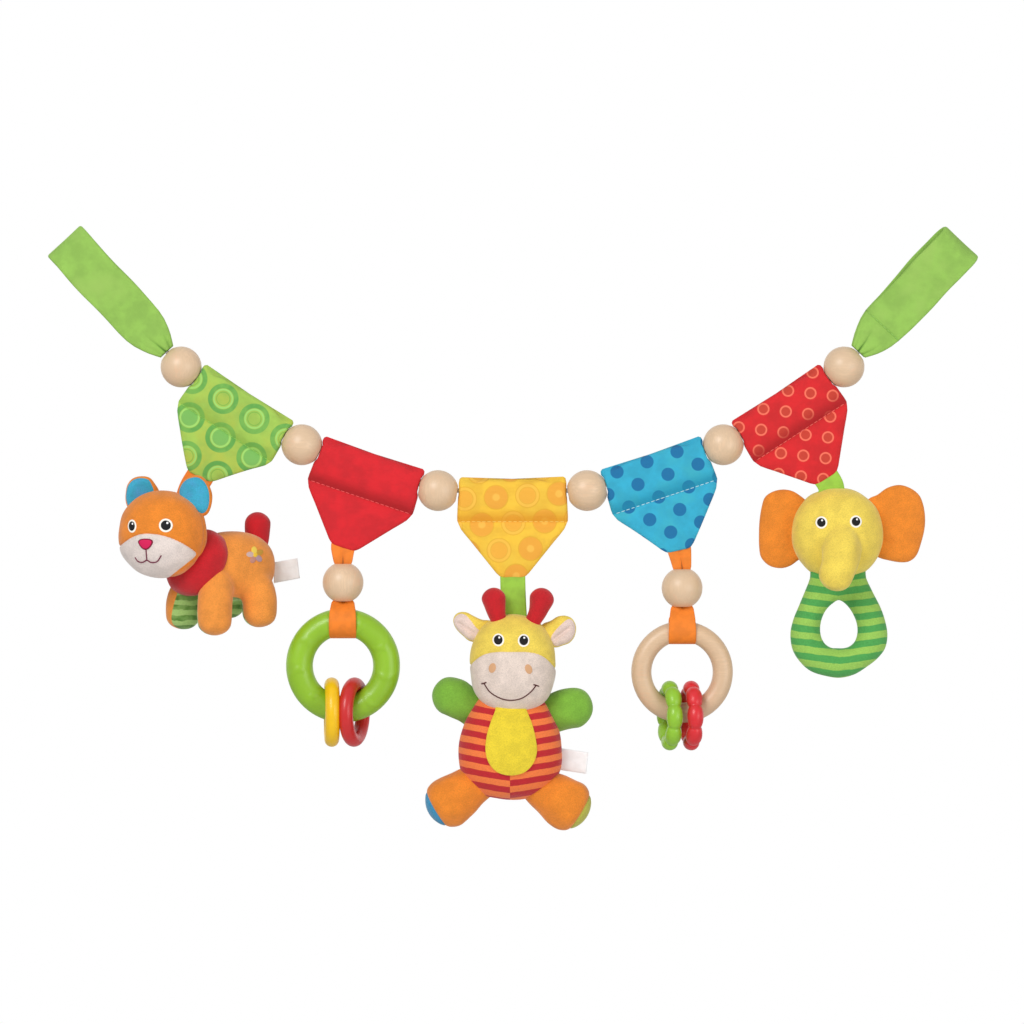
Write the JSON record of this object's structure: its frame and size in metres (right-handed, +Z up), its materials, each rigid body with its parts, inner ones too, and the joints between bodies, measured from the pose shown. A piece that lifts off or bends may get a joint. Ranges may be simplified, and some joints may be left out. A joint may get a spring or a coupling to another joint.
{
  "type": "pram chain toy",
  "caption": "Elastic pram garland of wooden beads and padded pennants between two fabric loops, with stuffed animals and threaded rings on ribbons.",
  "frame": {"origin": "midway between the bearing faces inside the folds of the two end loops, where the toy hangs", "axes": "+X from the left loop to the right one seen from the front, +Y from the front to the back, +Z up"},
  "size_m": [0.5118, 0.0763, 0.3308],
  "materials": {
    "beech": "fine sanded, clear matt varnish",
    "green_cloth": "padded cotton, matt",
    "red_cloth": "padded satin cotton, soft sheen",
    "yellow_cloth": "padded printed cotton, matt",
    "blue_cloth": "padded printed cotton, matt",
    "elastic": "braided elastic cord",
    "orange_ribbon": "satin ribbon",
    "green_ribbon": "satin ribbon",
    "green_plastic": "moulded, soft gloss",
    "yellow_plastic": "moulded, soft gloss",
    "red_plastic": "moulded, soft gloss",
    "orange_plush": "short velour pile",
    "red_plush": "short velour pile",
    "blue_plush": "short velour pile",
    "green_plush": "short velour pile",
    "yellow_plush": "short velour pile",
    "cream_plush": "short velour pile",
    "striped_cloth": "striped jersey, matt",
    "green_striped_cloth": "striped jersey, matt",
    "label_tape": "woven tape, matt"
  },
  "bodies": {
    "loops": {"loop_left": "green_cloth", "loop_right": "green_cloth"},
    "strand": {"elastic_cord": "elastic"},
    "bead_1": {"bead_1": "beech"},
    "bead_2": {"bead_2": "beech"},
    "bead_3": {"bead_3": "beech"},
    "bead_4": {"bead_4": "beech"},
    "bead_5": {"bead_5": "beech"},
    "bead_6": {"bead_6": "beech"},
    "pennant_1": {"pennant_1": "green_cloth"},
    "pennant_2": {"pennant_2": "red_cloth"},
    "pennant_3": {"pennant_3": "yellow_cloth"},
    "pennant_4": {"pennant_4": "blue_cloth"},
    "pennant_5": {"pennant_5": "red_cloth"},
    "cub": {"cub_body": "orange_plush", "cub_front_far_leg": "orange_plush", "cub_front_near_leg": "orange_plush", "cub_head": "orange_plush", "cub_label": "label_tape", "cub_left_ear": "blue_plush", "cub_muzzle": "cream_plush", "cub_neck": "red_plush", "cub_rear_far_leg": "orange_plush", "cub_rear_near_leg": "orange_plush", "cub_ribbon": "orange_ribbon", "cub_right_ear": "blue_plush"},
    "cub_tail": {"cub_tail": "red_plush"},
    "left_ribbon": {"left_ring_ribbon": "orange_ribbon"},
    "left_ribbon_bead": {"left_ribbon_bead": "beech"},
    "teething_ring": {"teething_ring": "green_plastic"},
    "ring_yellow": {"ring_yellow": "yellow_plastic"},
    "ring_red": {"ring_red": "red_plastic"},
    "right_ribbon": {"right_ring_ribbon": "orange_ribbon"},
    "right_ribbon_bead": {"right_ribbon_bead": "beech"},
    "wooden_ring": {"wooden_ring": "beech"},
    "flower_ring_green": {"flower_ring_green": "green_plastic"},
    "flower_ring_red": {"flower_ring_red": "red_plastic"},
    "giraffe": {"giraffe_belly": "yellow_plush", "giraffe_body": "striped_cloth", "giraffe_head": "yellow_plush", "giraffe_label": "label_tape", "giraffe_left_ear": "cream_plush", "giraffe_left_horn": "red_plush", "giraffe_muzzle": "cream_plush", "giraffe_ribbon": "green_ribbon", "giraffe_right_ear": "cream_plush", "giraffe_right_horn": "red_plush"},
    "giraffe_left_arm": {"giraffe_left_arm": "green_plush"},
    "giraffe_right_arm": {"giraffe_right_arm": "green_plush"},
    "giraffe_left_leg": {"giraffe_left_leg": "orange_plush", "giraffe_left_sole": "blue_plush"},
    "giraffe_right_leg": {"giraffe_right_leg": "orange_plush", "giraffe_right_sole": "blue_plush"},
    "elephant": {"elephant_handle": "green_striped_cloth", "elephant_head": "yellow_plush", "elephant_left_ear": "orange_plush", "elephant_ribbon": "green_ribbon", "elephant_right_ear": "orange_plush", "elephant_trunk": "yellow_plush"}
  },
  "joints": [
    {"name": "garland_swing", "type": "hinge", "parent": "loops", "child": "strand", "pos_m": [0, 0, -0.06772], "axis": [1, 0, 0], "range_deg": [-40, 40]},
    {"name": "bead_1_spin", "type": "hinge", "parent": "strand", "child": "bead_1", "pos_m": [-0.18228, 0, -0.06772], "axis": [0.7672, 0, -0.6414], "continuous": true},
    {"name": "bead_2_spin", "type": "hinge", "parent": "strand", "child": "bead_2", "pos_m": [-0.11587, 0, -0.11052], "axis": [0.9011, 0, -0.4337], "continuous": true},
    {"name": "bead_3_spin", "type": "hinge", "parent": "strand", "child": "bead_3", "pos_m": [-0.041, 0, -0.13572], "axis": [0.9869, 0, -0.1616], "continuous": true},
    {"name": "bead_4_spin", "type": "hinge", "parent": "strand", "child": "bead_4", "pos_m": [0.041, 0, -0.13572], "axis": [0.9869, 0, 0.1616], "continuous": true},
    {"name": "bead_5_spin", "type": "hinge", "parent": "strand", "child": "bead_5", "pos_m": [0.11587, 0, -0.11052], "axis": [0.9011, 0, 0.4337], "continuous": true},
    {"name": "bead_6_spin", "type": "hinge", "parent": "strand", "child": "bead_6", "pos_m": [0.18228, 0, -0.06772], "axis": [0.7672, 0, 0.6414], "continuous": true},
    {"name": "pennant_1_rock", "type": "hinge", "parent": "strand", "child": "pennant_1", "pos_m": [-0.14908, 0, -0.08912], "axis": [0.8406, 0, -0.5417], "range_deg": [-30, 30]},
    {"name": "pennant_2_rock", "type": "hinge", "parent": "strand", "child": "pennant_2", "pos_m": [-0.07844, 0, -0.12312], "axis": [0.9478, 0, -0.319], "range_deg": [-30, 30]},
    {"name": "pennant_3_rock", "type": "hinge", "parent": "strand", "child": "pennant_3", "pos_m": [0, 0, -0.13572], "axis": [1, 0, 0], "range_deg": [-30, 30]},
    {"name": "pennant_4_rock", "type": "hinge", "parent": "strand", "child": "pennant_4", "pos_m": [0.07844, 0, -0.12312], "axis": [0.9478, 0, 0.319], "range_deg": [-30, 30]},
    {"name": "pennant_5_rock", "type": "hinge", "parent": "strand", "child": "pennant_5", "pos_m": [0.14908, 0, -0.08912], "axis": [0.8406, 0, 0.5417], "range_deg": [-30, 30]},
    {"name": "cub_swing", "type": "hinge", "parent": "pennant_1", "child": "cub", "pos_m": [-0.1741, 0, -0.12796], "axis": [0.8406, 0, -0.5417], "range_deg": [-40, 40]},
    {"name": "left_ribbon_swing", "type": "hinge", "parent": "pennant_2", "child": "left_ribbon", "pos_m": [-0.09317, 0, -0.1669], "axis": [0.9478, 0, -0.319], "range_deg": [-40, 40]},
    {"name": "giraffe_swing", "type": "hinge", "parent": "pennant_3", "child": "giraffe", "pos_m": [0, 0, -0.18192], "axis": [1, 0, 0], "range_deg": [-40, 40]},
    {"name": "right_ribbon_swing", "type": "hinge", "parent": "pennant_4", "child": "right_ribbon", "pos_m": [0.09317, 0, -0.1669], "axis": [0.9478, 0, 0.319], "range_deg": [-40, 40]},
    {"name": "elephant_swing", "type": "hinge", "parent": "pennant_5", "child": "elephant", "pos_m": [0.1741, 0, -0.12796], "axis": [0.8406, 0, 0.5417], "range_deg": [-40, 40]},
    {"name": "cub_tail_flop", "type": "hinge", "parent": "cub", "child": "cub_tail", "pos_m": [-0.13861, 0.02312, -0.16485], "axis": [0.6157, -0.788, 0], "range_deg": [-12, 12], "stiffness_Nm_per_rad": 0.004},
    {"name": "left_ribbon_bead_spin", "type": "hinge", "parent": "left_ribbon", "child": "left_ribbon_bead", "pos_m": [-0.09285, 0, -0.18516], "axis": [0, 0, 1], "continuous": true},
    {"name": "teething_ring_turn", "type": "hinge", "parent": "left_ribbon", "child": "teething_ring", "pos_m": [-0.09285, 0, -0.23081], "axis": [0, 1, 0], "continuous": true},
    {"name": "ring_yellow_swing", "type": "hinge", "parent": "left_ribbon", "child": "ring_yellow", "pos_m": [-0.09285, 0, -0.23081], "axis": [0, -1, 0], "range_deg": [-50, 15]},
    {"name": "ring_red_swing", "type": "hinge", "parent": "ring_yellow", "child": "ring_red", "pos_m": [-0.09285, 0, -0.23081], "axis": [0, -1, 0], "range_deg": [0, 15]},
    {"name": "right_ribbon_bead_spin", "type": "hinge", "parent": "right_ribbon", "child": "right_ribbon_bead", "pos_m": [0.09285, 0, -0.18816], "axis": [0, 0, 1], "continuous": true},
    {"name": "wooden_ring_turn", "type": "hinge", "parent": "right_ribbon", "child": "wooden_ring", "pos_m": [0.09285, 0, -0.23431], "axis": [0, 1, 0], "continuous": true},
    {"name": "flower_green_swing", "type": "hinge", "parent": "right_ribbon", "child": "flower_ring_green", "pos_m": [0.09285, 0, -0.23431], "axis": [0, -1, 0], "range_deg": [-30, 20]},
    {"name": "flower_red_swing", "type": "hinge", "parent": "flower_ring_green", "child": "flower_ring_red", "pos_m": [0.09285, 0, -0.23431], "axis": [0, -1, 0], "range_deg": [0, 30]},
    {"name": "giraffe_left_arm_flop", "type": "hinge", "parent": "giraffe", "child": "giraffe_left_arm", "pos_m": [-0.023, 0.004, -0.26212], "axis": [0.5592, 0, 0.829], "range_deg": [-15, 15], "stiffness_Nm_per_rad": 0.01},
    {"name": "giraffe_left_leg_flop", "type": "hinge", "parent": "giraffe", "child": "giraffe_left_leg", "pos_m": [-0.0212, -0.001, -0.29902], "axis": [-0.342, 0, 0.9397], "range_deg": [-12, 12], "stiffness_Nm_per_rad": 0.01},
    {"name": "giraffe_right_arm_flop", "type": "hinge", "parent": "giraffe", "child": "giraffe_right_arm", "pos_m": [0.0206, 0.004, -0.26212], "axis": [-0.5592, 0, 0.829], "range_deg": [-15, 15], "stiffness_Nm_per_rad": 0.01},
    {"name": "giraffe_right_leg_flop", "type": "hinge", "parent": "giraffe", "child": "giraffe_right_leg", "pos_m": [0.0188, -0.001, -0.29902], "axis": [0.342, 0, 0.9397], "range_deg": [-12, 12], "stiffness_Nm_per_rad": 0.01}
  ]
}
